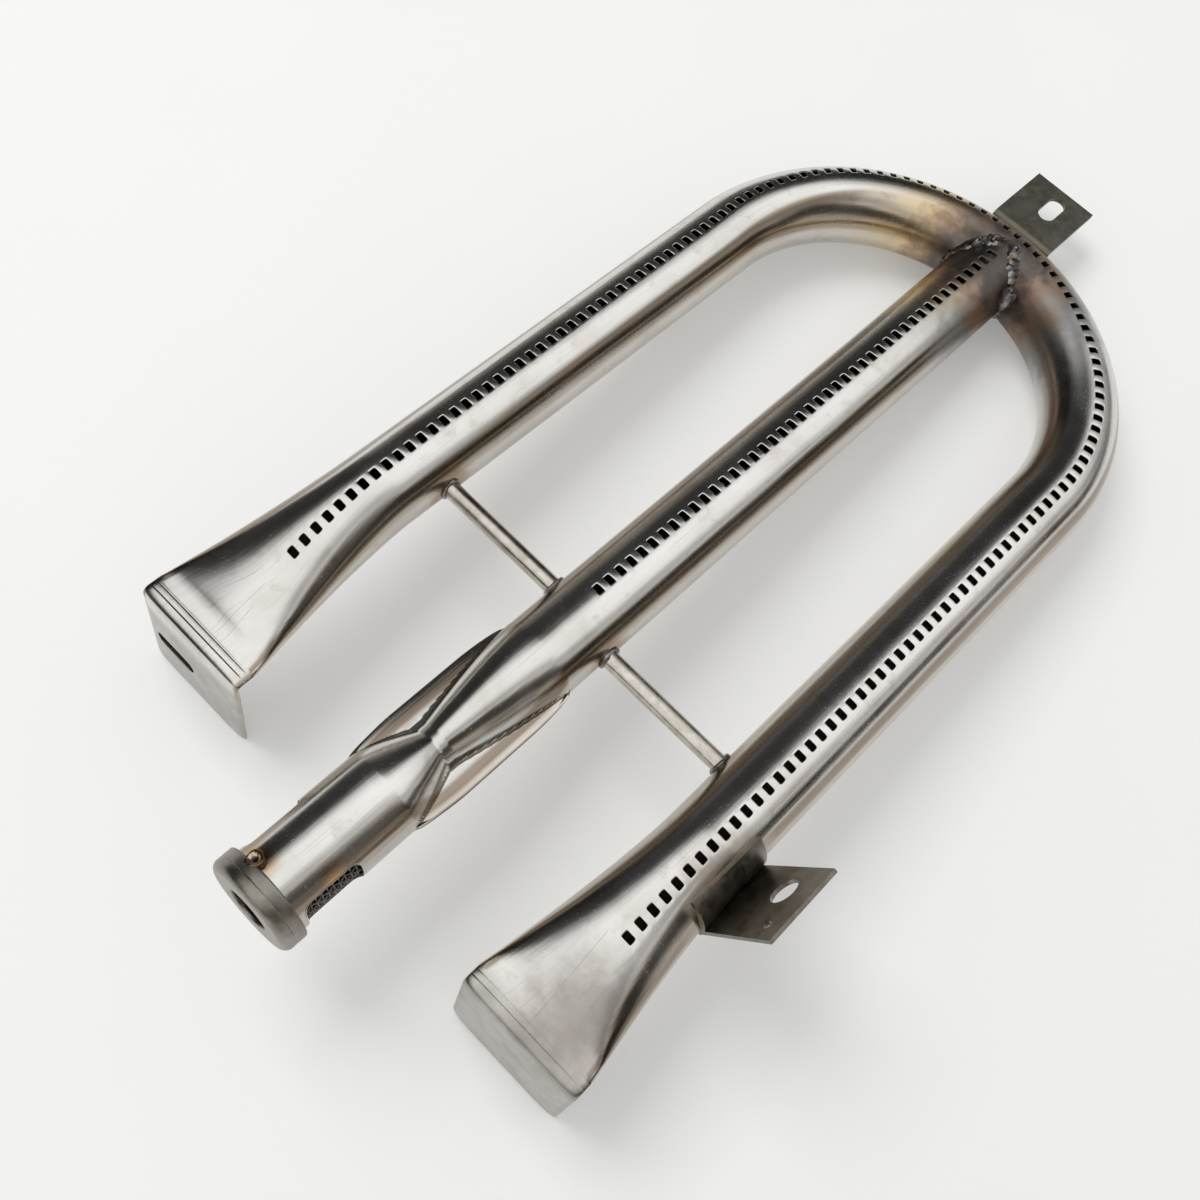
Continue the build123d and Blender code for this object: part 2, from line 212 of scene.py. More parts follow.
class Sheet(Skin):
    """A tube wall in columns (degrees round) and rows (millimetres along), with punched holes."""

    def __init__(self, place, angles, rows):
        super().__init__()
        self.place = place
        self.angles = angles
        self.rows = rows
        self.holes = []
        self.side = 1.0

    def at(self, angle, row, lift=0.0):
        """A point of the wall, lifted outward from it."""
        p = np.array(self.place(angle, row))
        if lift == 0.0:
            return p
        du = np.array(self.place(angle + STEP, row)) - p
        dv = np.array(self.place(angle, row + STEP)) - p
        n = np.cross(du, dv)
        return p + lift * n / np.linalg.norm(n) * self.side

    def number(self, angle, row, lift=0.0):
        return self.add(self.at(angle, row, lift), ((angle % 360) * DEGREE_ARC, row))

    def punch(self, c0, c1, r0, r1, loops):
        """Leave out the cells of a block and fill them with rings that run in to a hole.

        loops is a function from the block's outline, as (angle, row) pairs, to a list of rings of
        (angle, row, lift), the last one being the edge of the hole.
        """
        self.holes.append((c0, c1, r0, r1, loops))

    def find_side(self):
        """Note which way round the columns run, from one point and the point across the tube."""
        angle = self.angles[1]
        row = self.rows[len(self.rows) // 2]
        p = np.array(self.place(angle, row))
        du = np.array(self.place(angle + STEP, row)) - p
        dv = np.array(self.place(angle, row + STEP)) - p
        across = p - np.array(self.place(angle + 180, row))
        self.side = 1.0 if np.dot(np.cross(du, dv), across) > 0 else -1.0

    def build(self):
        """Make the grid of quads, then the rings round every hole."""
        self.find_side()
        across = len(self.angles)
        gone = set()
        inner = set()
        for c0, c1, r0, r1, _ in self.holes:
            for c in range(c0, c1):
                for r in range(r0, r1):
                    gone.add((c % across, r))
            for c in range(c0 + 1, c1):
                for r in range(r0 + 1, r1):
                    inner.add((c % across, r))
        grid = {}
        for r, row in enumerate(self.rows):
            for c, angle in enumerate(self.angles):
                if (c, r) not in inner:
                    grid[c, r] = self.number(angle, row)
        for r in range(len(self.rows) - 1):
            for c in range(across):
                if (c, r) not in gone:
                    d = (c + 1) % across
                    self.faces.append((grid[c, r], grid[d, r], grid[d, r + 1], grid[c, r + 1]))
        for c0, c1, r0, r1, loops in self.holes:
            outline = [(c, r0) for c in range(c0, c1)] + [(c1, r) for r in range(r0, r1)]
            outline += [(c, r1) for c in range(c1, c0, -1)] + [(c0, r) for r in range(r1, r0, -1)]
            base = self.angles[c0 % across]
            flat = []
            for c, r in outline:
                angle = self.angles[c % across]
                while angle < base - 1e-6:
                    angle += 360
                flat.append((angle, self.rows[r]))
            ring = [grid[c % across, r] for c, r in outline]
            for loop in loops(flat):
                inside_ring = [self.number(a, v, lift) for a, v, lift in loop]
                self.strip(ring, inside_ring)
                ring = inside_ring
        return self


def block_shares(outline):
    """Middle angle of a block, and its outline's points as shares of the block, from -1 to 1."""
    angles, rows = zip(*outline)
    mid_a = (min(angles) + max(angles)) / 2
    mid_v = (min(rows) + max(rows)) / 2
    half_a = (max(angles) - min(angles)) / 2
    half_v = (max(rows) - min(rows)) / 2
    return mid_a, [((a - mid_a) / half_a, (v - mid_v) / half_v) for a, v in outline]


def port_loops(sheet, angle, row):
    """Rings of one punched port: the metal dips a little towards the sheared edge."""
    here = np.array(sheet.place(angle, row))
    per_degree = np.linalg.norm(np.array(sheet.place(angle + STEP, row)) - here) / STEP
    per_row = np.linalg.norm(np.array(sheet.place(angle, row + STEP)) - here) / STEP
    seed = angle * 0.37 + row * 0.11
    grow = 0.05 * noise.noise(Vector((seed, 3.1, 0)))
    skew = 0.10 * noise.noise(Vector((seed, 7.7, 0)))

    def loops(outline):
        _, shares = block_shares(outline)
        rings = []
        for margin, lift in ((0.4, 0.0), (0.09, -0.05), (0.0, -0.16)):
            ring = []
            for x, y in shares:
                corner = 0.95 if abs(x) > 0.99 and abs(y) > 0.99 else 1.0
                dx = x * (PORT_ACROSS / 2 + grow + margin) * corner
                dy = y * (PORT_ALONG / 2 + grow + margin) * corner + skew * 0.4
                ring.append((angle + dx / per_degree, row + dy / per_row, lift))
            rings.append(ring)
        return rings

    return loops


# ---------------------------------------------------------------- outer tube
def ellipse_side(width):
    """Half height of an ellipse that keeps the inside girth of the round tube."""
    low = 0.0
    high = R_IN
    for _ in range(30):
        mid = (low + high) / 2
        girth = math.pi * (3 * (width + mid) - math.sqrt((3 * width + mid) * (width + 3 * mid)))
        if girth > 2 * math.pi * R_IN:
            high = mid
        else:
            low = mid
    return max(low, FLAT_GAP)


FLARE_SHAPES = {}


def flare_shape(k):
    """Half width, half height and drop of the flattening tube's inside, each k worked out once."""
    if k not in FLARE_SHAPES:
        width = R_IN + (FLAT_HALF - WALL - R_IN) * k ** 1.5
        height = ellipse_side(width) if k > 0 else R_IN
        FLARE_SHAPES[k] = (width, height, FLAT_Z * k ** 1.3)
    return FLARE_SHAPES[k]


def dip(away, width, depth):
    """Depth of a rolled line at a distance from its middle."""
    return depth * math.exp(-(away / width) ** 2)


def leg_section(a, run):
    """Outward offset, distance along the leg and height, a radians round and run past the bend."""
    if run <= FLARE_FROM:
        return R_OUT * math.cos(a), run, R_OUT * math.sin(a)
    k = min(1.0, (run - FLARE_FROM) / (FLARE_TO - FLARE_FROM))
    width, height, drop = flare_shape(round(k, 6))
    t = a - CROWD * (1 - height / width) * math.sin(2 * a) / 2
    extra = run - FLARE_TO
    if extra <= 0:
        nx = height * math.cos(t)
        nz = width * math.sin(t)
        n = math.hypot(nx, nz)
        return width * math.cos(t) + WALL * nx / n, run, height * math.sin(t) + WALL * nz / n + drop
    half = TAB_HALF
    fold = TAB_FOLD - FLARE_TO
    down = extra - fold - FOLD_ARC
    left_over = (FLAT_Z - FOLD_R) - TAB_BOTTOM - down
    if left_over < TAB_CORNER:
        into = TAB_CORNER - max(left_over, 0.0)
        half -= TAB_CORNER - math.sqrt(max(0.0, TAB_CORNER ** 2 - into ** 2))
    settle = min(1.0, extra / 1.2)
    thick = (height + WALL) * (1 - settle) + WALL * settle
    groove = dip(extra - 0.9, 0.26, 0.16) + dip(extra - fold + 0.5, 0.22, 0.15)
    flat = math.copysign(math.sqrt(max(0.0, 1 - abs(math.cos(t)) ** 9)), math.sin(t))
    lift = flat * (thick - groove)
    o = half * math.cos(t)
    if extra < fold:
        return o, FLARE_TO + extra, FLAT_Z + lift
    turn = min((extra - fold) / FOLD_R, math.pi / 2)
    along = FLARE_TO + fold + (FOLD_R + lift) * math.sin(turn)
    height_now = FLAT_Z - FOLD_R + (FOLD_R + lift) * math.cos(turn)
    if down > 0:
        height_now -= down
    return o, along, height_now


def row_tilt(row):
    """Degrees the port row leans away from the inside of the U."""
    away = (row - LEAN_BEND_AT) / LEAN_BEND_OVER
    drift = min(1.0, max(0.0, (LEAN_LEFT_FROM - row) / LEAN_LEFT_OVER))
    return LEAN + LEAN_BEND * math.exp(-away * away) - LEAN_LEFT * drift ** 2


def place_outer(angle, row):
    """angle runs from the outer side (0) over the port row (90), row from the left end to the right.

    The mesh's own columns follow the wandering port row, and straighten out in the flat tabs.
    """
    run = max(0.0, abs(row) - QUARTER)
    shift = LEFT_END if row < 0 else RIGHT_END
    straight = min(1.0, max(0.0, (run - STRAIGHT_FROM) / STRAIGHT_OVER))
    twist = row_tilt(row) * (1 - straight * straight * (3 - 2 * straight))
    turn = max(-math.pi / 2, min(math.pi / 2, row / LEG))
    o, run, z = leg_section(math.radians(angle - twist), run + shift)
    reach = LEG + o
    if run <= shift:
        return reach * math.sin(turn), reach * math.cos(turn), z
    return reach * math.sin(turn), reach * math.cos(turn) - run + shift, z


def end_rows(last):
    """Distances along a leg from its last port to the tab's edge, close together beside the rolled lines."""
    more = list(np.linspace(last, FLARE_TO, 17)[1:])
    more += [FLARE_TO + d for d in (0.3, 0.5, 0.65, 0.8, 0.95, 1.1, 1.3, 1.55, 1.9)]
    more += [TAB_FOLD - d for d in (1.1, 0.85, 0.7, 0.58, 0.46, 0.34, 0.2, 0.0)]
    more += [TAB_FOLD + FOLD_ARC * i / 7 for i in range(1, 8)]
    start = TAB_FOLD + FOLD_ARC
    end = start + (FLAT_Z - FOLD_R) - TAB_BOTTOM
    more += list(np.linspace(start, end - TAB_CORNER, 14)[1:])
    return more + [end - 1.0, end - 0.6, end - 0.3, end - 0.1, end]


def outer_rows():
    """All rows of the outer tube, and the number of the first port's first row."""
    half = OUTER_PORTS / 2
    steps = range(PORT_ROWS * OUTER_PORTS + 1)
    rows = [OUTER_PORTS_MIDDLE + (i / PORT_ROWS - half) * PITCH for i in steps]
    left = end_rows(-rows[0] - QUARTER + LEFT_END)
    right = end_rows(rows[-1] - QUARTER + RIGHT_END)
    before = [-(QUARTER + m - LEFT_END) for m in reversed(left)]
    return before + rows + [QUARTER + m - RIGHT_END for m in right], len(before)


def slot_loops(back):
    """Rings of the round-ended slot, on the front or the back sheet of the tab."""
    mid_x, mid_z, long, high = SLOT

    def loops(outline):
        # the block is taller than the slot, so its outline is drawn in before it is wrapped round
        points = np.array([place_outer(a, v) for a, v in outline])
        radius = high / 2
        rings = []
        for margin, lift in ((0.6, 0.0), (0.12, -0.04), (0.0, -0.15)):
            ring = []
            for (a, v), p in zip(outline, points):
                dx = p[0] + LEG - mid_x
                dz = p[2] - mid_z
                core = max(-(long / 2 - radius), min(long / 2 - radius, dx * 0.82))
                away = np.array([dx - core, dz * 1.6])
                away /= max(1e-6, np.linalg.norm(away))
                x = mid_x + core + away[0] * (radius + margin)
                z = mid_z + away[1] * (radius + margin)
                ring.append((x, z, lift))
            rings.append([solve_tab(x, z, back) + (lift,) for x, z, lift in ring])
        return rings

    return loops


def solve_tab(x, z, back):
    """Angle and row of a point of the flat hanging tab of the left leg."""
    t = math.acos(max(-1.0, min(1.0, -x / TAB_HALF)))
    width, height, _ = flare_shape(1.0)
    crowd = CROWD * (1 - height / width)
    a = t
    for _ in range(40):
        a = t + crowd * math.sin(2 * a) / 2
    if back:
        a = 2 * math.pi - a
    run = TAB_FOLD + FOLD_ARC + (FLAT_Z - FOLD_R) - z
    return math.degrees(a), -(QUARTER + run - LEFT_END)


def make_outer():
    """The U tube: its ports, its flattened ends, and the slot through both sheets of the left tab."""
    angles = columns(90, rest=66)
    rows, first = outer_rows()
    sheet = Sheet(place_outer, angles, rows)
    for i in range(OUTER_PORTS):
        r0 = first + PORT_ROWS * i
        r1 = r0 + PORT_ROWS
        sheet.punch(0, PORT_COLUMNS, r0, r1, port_loops(sheet, 90, (rows[r0] + rows[r1]) / 2))
    mid_x, mid_z, long, high = SLOT
    margin = 1.3
    for back in (False, True):
        a0, v0 = solve_tab(mid_x - long / 2 - margin, mid_z - high / 2 - margin, back)
        a1, v1 = solve_tab(mid_x + long / 2 + margin, mid_z + high / 2 + margin, back)
        spread = [c for c, a in enumerate(angles) if min(a0, a1) <= a % 360 <= max(a0, a1)]
        tall = [r for r, v in enumerate(rows) if min(v0, v1) <= v <= max(v0, v1)]
        start = min(spread, key=lambda c: angles[c] % 360) - 1
        sheet.punch(start, start + len(spread) + 1, min(tall) - 1, max(tall) + 1, slot_loops(back))
    return sheet.build()


# ---------------------------------------------------------------- centre tube
def vent_shape(y):
    """Pinch and fin spread of the venturi: the pinch starts softly, the fins widen at once."""
    if y <= VENT_FROM or y >= VENT_TO:
        return 0.0, 0.0
    if y < THROAT:
        k = (y - VENT_FROM) / (THROAT - VENT_FROM)
        reach = y - VENT_FROM
    else:
        k = (VENT_TO - y) / (VENT_TO - THROAT)
        reach = VENT_TO - y
    spread = min(1.0, reach / FIN_RISE)
    return min(1.0, 1.06 * k) ** 1.4, math.sqrt(1 - (1 - spread) ** 2.2)


def place_centre(angle, y):
    """angle runs from the right side (0) over the crown (90); y past the cope is a share of its depth."""
    a = math.radians(angle)
    pinch, spread = vent_shape(y)
    if pinch == 0:
        x = R_OUT * math.cos(a)
        z = R_OUT * math.sin(a)
        if y > COPE_FROM:
            ring = LEG - math.sqrt(max(0.0, R_OUT ** 2 - z * z))
            end = max(COPE_FROM, math.sqrt(max(0.0, ring * ring - x * x)) + 0.15)
            y = COPE_FROM + (end - COPE_FROM) * (y - COPE_FROM)
        return x, y, z
    foot = R_OUT - (R_OUT - THROAT_HALF) * pinch
    height = R_OUT - (R_OUT - THROAT_H) * pinch
    power = 0.5 + 0.15 * pinch
    reach = foot + (FIN_HALF - foot) * spread
    x = reach * math.cos(a)
    u = min(1.0, abs(x / foot))
    bell = height * (max(0.0, 1 - u * u)) ** power
    tip = FIN_T * spread * math.sqrt(max(0.0, 1 - math.cos(a) ** 8))
    z = (bell ** 3 + tip ** 3) ** (1 / 3)
    return x, y, math.copysign(z, math.sin(a))


def window_loops(outline):
    """Rings of a side air window, a round-cornered rectangle seen from the side."""
    mid, long, high = WINDOW
    mid_a, shares = block_shares(outline)
    rings = []
    for margin, lift in ((0.5, 0.0), (0.1, -0.03), (0.0, -0.12)):
        ring = []
        for x, y in shares:
            dz = x * (high / 2 + margin)
            dy = y * (long / 2 + margin)
            over_z = abs(dz) - (high / 2 + margin - WINDOW_CORNER)
            over_y = abs(dy) - (long / 2 + margin - WINDOW_CORNER)
            if over_z > 0 and over_y > 0:
                pull = WINDOW_CORNER / max(WINDOW_CORNER, math.hypot(over_z, over_y))
                dz = math.copysign(abs(dz) - over_z * (1 - pull), dz)
                dy = math.copysign(abs(dy) - over_y * (1 - pull), dy)
            swing = math.degrees(math.asin(max(-1.0, min(1.0, dz / R_OUT))))
            ring.append((mid_a + swing, mid + dy, lift))
        rings.append(ring)
    return rings


def make_centre():
    """The centre tube: its ports, the pinched venturi with its fins, and a window on either side."""
    tilt = 90 - CENTRE_TILT
    angles = columns(tilt, rest=128)
    first = CENTRE_PORTS_FROM - PITCH / 2
    mid, long, _ = WINDOW
    near = 1.5
    rows = list(np.linspace(INLET_END, mid - long / 2 - near, 4))
    low = len(rows) - 1
    rows += list(np.linspace(rows[-1], mid + long / 2 + near, 11)[1:])
    high = len(rows) - 1
    stretches = ((VENT_FROM, 5), (THROAT - near, 29), (THROAT + near, 8), (VENT_TO, 59), (first, 7))
    for end, count in stretches:
        rows += list(np.linspace(rows[-1], end, count + 1)[1:])
    start = len(rows) - 1
    rows += [first + PITCH * i / PORT_ROWS for i in range(1, PORT_ROWS * CENTRE_PORTS + 1)]
    rows += [COPE_FROM, COPE_FROM + 0.5, COPE_FROM + 1.0]
    sheet = Sheet(place_centre, angles, rows)
    for i in range(CENTRE_PORTS):
        r0 = start + PORT_ROWS * i
        r1 = r0 + PORT_ROWS
        sheet.punch(0, PORT_COLUMNS, r0, r1, port_loops(sheet, tilt, (rows[r0] + rows[r1]) / 2))
    for middle in (360, 180):
        wide = [c for c, a in enumerate(angles) if abs((a - middle + 180) % 360 - 180) < 39]
        c0 = min(wide, key=lambda c: (angles[c] - middle + 180) % 360)
        sheet.punch(c0, c0 + len(wide) - 1, low, high, window_loops)
    return sheet.build()


# ---------------------------------------------------------------- small parts
def make_cap():
    """Pressed cap: rounded front rim, fine turned line round its middle, hole with a soft edge."""
    r = CAP_R
    f = CAP_FRONT
    b = CAP_BACK
    hole = CAP_HOLE_R
    profile = [(hole, f + 1.5), (hole, f + 0.35), (hole + 0.1, f + 0.12), (hole + 0.35, f + 0.02)]
    profile += [(hole + 1.2, f), (r - 3.4, f), (r - 2.6, f + 0.02)]
    for i in range(9):
        a = math.pi / 2 * i / 8
        profile.append((r - 2.3 + 2.3 * math.sin(a), f + 2.3 - 2.3 * math.cos(a)))
    profile += [(r, f + 3.3), (r - 0.02, f + 3.5), (r - 0.16, f + 3.62), (r - 0.16, f + 3.72)]
    profile += [(r - 0.02, f + 3.84), (r, f + 4.1), (r, b - 0.6), (r - 0.05, b - 0.3)]
    profile += [(r - 0.3, b - 0.06), (r - 0.6, b), (R_OUT, b), (R_OUT, f + 2.3), (R_IN, f + 1.5)]
    skin = Skin()
    segments = 96
    rings = []
    for radius, y in profile:
        ring = []
        for i in range(segments):
            a = 2 * math.pi * i / segments
            ring.append(skin.add((radius * math.cos(a), y, radius * math.sin(a)), (0.2 * i, y)))
        rings.append(ring)
    skin.stack(rings + rings[:1])
    return skin


def tube_along(skin, path, radius, sides=8, closed=False, caps=False):
    """Round wire or bead along a path; radius is a number or one per point."""
    path = np.asarray(path, float)
    count = len(path)
    radii = np.full(count, radius) if np.isscalar(radius) else np.asarray(radius)
    if closed:
        ahead = np.roll(path, -1, 0) - np.roll(path, 1, 0)
    else:
        ahead = np.gradient(path, axis=0)
    ahead /= np.linalg.norm(ahead, axis=1)[:, None]
    side = np.cross(ahead[0], (0.31, 0.17, 0.93))
    rings = []
    for i in range(count):
        side = side - ahead[i] * np.dot(side, ahead[i])
        side /= np.linalg.norm(side)
        up = np.cross(ahead[i], side)
        ring = []
        for j in range(sides):
            a = 2 * math.pi * j / sides
            spoke = math.cos(a) * side + math.sin(a) * up
            ring.append(skin.add(path[i] + radii[i] * spoke, (j, i)))
        rings.append(ring)
    skin.stack(rings)
    if closed:
        first = np.array([skin.points[k] for k in rings[0]])
        last = np.array([skin.points[k] for k in rings[-1]])
        gaps = [np.linalg.norm(last - np.roll(first, -s, 0), axis=1).sum() for s in range(sides)]
        turn = gaps.index(min(gaps))
        skin.strip(rings[-1], rings[0][turn:] + rings[0][:turn])
    if caps:
        skin.faces.append(tuple(reversed(rings[0])))
        skin.faces.append(tuple(rings[-1]))


def make_screen():
    """Woven wire mesh rolled into a sleeve: every wire waves over and under the ones it crosses."""
    wire = 0.45
    wave = wire / 2 + 0.02
    pitch = 1.8
    hoops = 18
    steps = 4
    mid_r = R_IN - wire - 0.06
    lines = round(2 * math.pi * mid_r / pitch)
    lines += lines % 2
    skin = Skin()
    for i in range(hoops):
        path = []
        for j in range(lines * steps):
            a = 2 * math.pi * j / (lines * steps)
            r = mid_r + wave * math.cos(a * lines / 2 + math.pi * i)
            path.append((r * math.cos(a), SCREEN_FROM + i * pitch, r * math.sin(a)))
        tube_along(skin, path, wire / 2, 6, closed=True)
    for j in range(lines):
        a = 2 * math.pi * j / lines
        path = []
        for i in range((hoops - 1) * steps + 1):
            s = i / steps
            r = mid_r - wave * math.cos(math.pi * s + math.pi * j)
            path.append((r * math.cos(a), SCREEN_FROM + s * pitch, r * math.sin(a)))
        tube_along(skin, path, wire / 2, 6, caps=True)
    return skin


def weld_bead(skin, path, radius, pitch, seed, closed=False, lump=0.18, ripple=0.16):
    """Overlapping ripples of a hand-laid bead, with uneven width."""
    path = np.asarray(path, float)
    steps = np.linalg.norm(np.diff(path, axis=0), axis=1)
    dist = np.concatenate([[0], np.cumsum(steps)])
    total = dist[-1]
    radii = []
    for d, p in zip(dist, path):
        saw = (d / pitch) % 1.0
        r = radius * (1 - ripple + ripple * (1 - saw) ** 0.6)
        r *= 1 + lump * wobble(p[0] + seed, p[1], p[2], 0.35)
        if not closed:
            r *= min(1.0, 0.35 + 0.65 * math.sqrt(max(0.0, min(d, total - d)) / (radius * 1.2)))
        radii.append(r)
    start = len(skin.points)
    tube_along(skin, path, radii, 14, closed=closed, caps=not closed)
    for i in range(start, len(skin.points)):
        p = skin.points[i]
        push = 0.10 * wobble(p[0] + seed, p[1] + seed, p[2], 1.3)
        skin.points[i] = (p[0] + push, p[1] + push * 0.7, p[2] + push)


def blob(skin, centre, size, seed, rings=8, sides=12):
    """A lump of weld spatter, a squashed uneven ball."""
    rows = []
    for i in range(1, rings):
        polar = math.pi * i / rings
        row = []
        for j in range(sides):
            a = 2 * math.pi * j / sides
            d = (math.sin(polar) * math.cos(a), math.sin(polar) * math.sin(a), math.cos(polar))
            grow = 1 + 0.3 * wobble(d[0] + seed, d[1], d[2], 1.6)
            row.append(skin.add([c + s * grow * q for c, s, q in zip(centre, size, d)]))
        rows.append(row)
    skin.stack(rows)
    for row, end in ((rows[0], 1), (rows[-1], -1)):
        tip = skin.add((centre[0], centre[1], centre[2] + end * size[2]))
        for j in range(sides):
            k = (j + 1) % sides
            skin.faces.append((tip, row[k], row[j]) if end < 0 else (tip, row[j], row[k]))


def tee_path(side, reach, a0, a1, count):
    """Where the centre tube meets the bend's inside, at a reach from their axes, a0 to a1 degrees down."""
    points = []
    for i in range(count):
        a = math.radians(a0 + (a1 - a0) * i / (count - 1))
        x = reach * math.sin(a)
        z = reach * math.cos(a)
        ring = LEG - math.sqrt(max(0.0, reach * reach - z * z))
        y = math.sqrt(ring * ring - x * x)
        wander = 0.25 * wobble(i * 0.4, side * 9, 0, 1.0)
        points.append((side * x, y - 0.5 + wander, z))
    return points


def make_tee_weld(side):
    """A sunk bead under overlapping lumps, with spatter on the crown and a big blob low on the right."""
    skin = Skin()
    path = tee_path(side, R_OUT - 1.5, 8, 168, 120)
    weld_bead(skin, path, 2.5, 1.1, 11 * side, lump=0.4, ripple=0.04)
    lumps = 34
    for i in range(lumps):
        x, y, z = path[4 + round(i * 3.3)]
        dx, dy, dz = [1.5 * wobble(i * 0.77 + side, k * 5.3, 1.7, 1.0) for k in range(3)]
        size = 3.0 + 0.7 * wobble(i * 1.31, side * 4.1, 9.2, 1.0)
        blob(skin, (x + dx, y + dy, z + dz * 0.6), (size, size * 1.15, size * 0.8), i + side * 3)
    spots = ((0.10, 0.9), (0.24, 1.0), (1.12, 3.6)) if side > 0 else ((0.12, 1.0), (0.6, 2.0))
    for turn, size in spots:
        start = math.degrees(turn)
        x, y, z = tee_path(side, R_OUT + 0.35 * size, start, start + 1, 2)[0]
        blob(skin, (x, y - 0.35 * size, z), (size * 0.8, size, size * 1.2), turn * 7 + side)
    return skin


def make_bar_welds():
    """A lumpy ring of weld where each cross bar meets a tube."""
    skin = Skin()
    for side in (-1, 1):
        for x_tube, away in ((0.0, 1), (LEG, -1)):
            path = []
            for i in range(48):
                a = 2 * math.pi * i / 48
                r = BAR_R + 0.35 + 0.2 * wobble(i * 0.2, side + away, x_tube, 1.0)
                dy = r * math.cos(a)
                z = r * math.sin(a)
                reach = math.sqrt(R_OUT ** 2 - z * z) + 0.35
                path.append((side * (x_tube + away * reach), BAR_Y[side] + dy, z))
            weld_bead(skin, path, 0.65, 1.3, side * 5 + away, closed=True, lump=0.7, ripple=0.06)
    return skin


def make_rear_welds():
    """An upright bead on either edge of the rear bracket, along the back of the bend."""
    lo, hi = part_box("rear_bracket_welds")
    skin = Skin()
    back = LEG + R_OUT
    inset = 1.75
    steps = 39
    for x in (lo.x * 1000 + inset, hi.x * 1000 - inset):
        path = []
        for i in range(steps + 1):
            z = hi.z * 1000 - 1.2 - (hi.z - lo.z - 0.0024) * 1000 * i / steps
            ring = LEG + math.sqrt(R_OUT ** 2 - z * z)
            y = math.sqrt(ring * ring - x * x) + 0.5
            path.append((x, min(y, back + 0.2), z))
        weld_bead(skin, path, 1.45, 1.2, x, lump=0.3)
    return skin


def make_cap_weld():
    """Plug weld: a lumpy ring round a crater, standing over the back rim of the cap."""
    lean = math.radians(CAP_WELD_LEAN)
    up = np.array((math.sin(lean), 0, math.cos(lean)))
    out = np.array((math.cos(lean), 0, -math.sin(lean)))
    along = np.array((0, 1, 0))
    foot = up * (CAP_R - 0.55) + along * (CAP_BACK + 0.6)
    skin = Skin()
    profile = [(0.0, -0.45), (0.4, -0.42), (0.95, -0.25), (1.3, 0.2), (1.65, 0.52)]
    profile += [(2.0, 0.62), (2.35, 0.5), (2.65, 0.1), (2.85, -0.5), (2.95, -1.4)]
    rings = []
    for radius, lift in profile:
        ring = []
        for i in range(36):
            a = 2 * math.pi * i / 36
            r = radius * (1 + 0.06 * math.sin(3 * a + 1) + 0.05 * wobble(math.cos(a), math.sin(a), 4.0, 1.4))
            h = lift + 0.12 * wobble(2 * math.cos(a), 2 * math.sin(a), radius, 1.2)
            h += 0.07 * math.sin(5 * a + radius * 3) if 0.8 < radius < 2.4 else 0.0
            spot = foot + out * r * math.cos(a) + along * r * math.sin(a) + up * min(h, 0.6)
            ring.append(skin.add(spot))
        rings.append(ring)
    skin.stack(rings)
    return skin


# ---------------------------------------------------------------- materials
class Nodes:
    """Adds nodes to one node tree; an input takes a number, a colour or another node's output."""

    def __init__(self, tree):
        self.tree = tree

    def node(self, kind, inputs=None, **settings):
        made = self.tree.nodes.new(kind)
        for key, value in settings.items():
            setattr(made, key, value)
        for key, value in (inputs or {}).items():
            if isinstance(value, bpy.types.NodeSocket):
                self.tree.links.new(value, made.inputs[key])
            else:
                made.inputs[key].default_value = value
        return made

    def math(self, operation, a, b=0.5, clamp=False, third=0.0):
        inputs = {0: a, 1: b, 2: third}
        return self.node("ShaderNodeMath", inputs, operation=operation, use_clamp=clamp).outputs[0]

    def split(self, vector):
        """The three coordinates of a vector."""
        return self.node("ShaderNodeSeparateXYZ", {0: vector}).outputs

    def ramp(self, value, stops):
        made = self.node("ShaderNodeValToRGB", {"Fac": value})
        bar = made.color_ramp
        while len(bar.elements) < len(stops):
            bar.elements.new(0.5)
        for element, (spot, colour) in zip(bar.elements, stops):
            element.position = spot
            element.color = (*colour, 1.0)
        return made.outputs["Color"]

    def span(self, value, low, high, to_low=0.0, to_high=1.0):
        """A smooth step from to_low at low to to_high at high."""
        inputs = {"Value": value, "From Min": low, "From Max": high, "To Min": to_low, "To Max": to_high}
        made = self.node("ShaderNodeMapRange", inputs, interpolation_type="SMOOTHSTEP")
        return made.outputs["Result"]

    def mix(self, factor, a, b):
        made = self.node("ShaderNodeMix", {"Factor": factor}, data_type="RGBA")
        for socket, value in ((made.inputs[6], a), (made.inputs[7], b)):
            if isinstance(value, bpy.types.NodeSocket):
                self.tree.links.new(value, socket)
            else:
                socket.default_value = (*value, 1.0)
        return made.outputs[2]


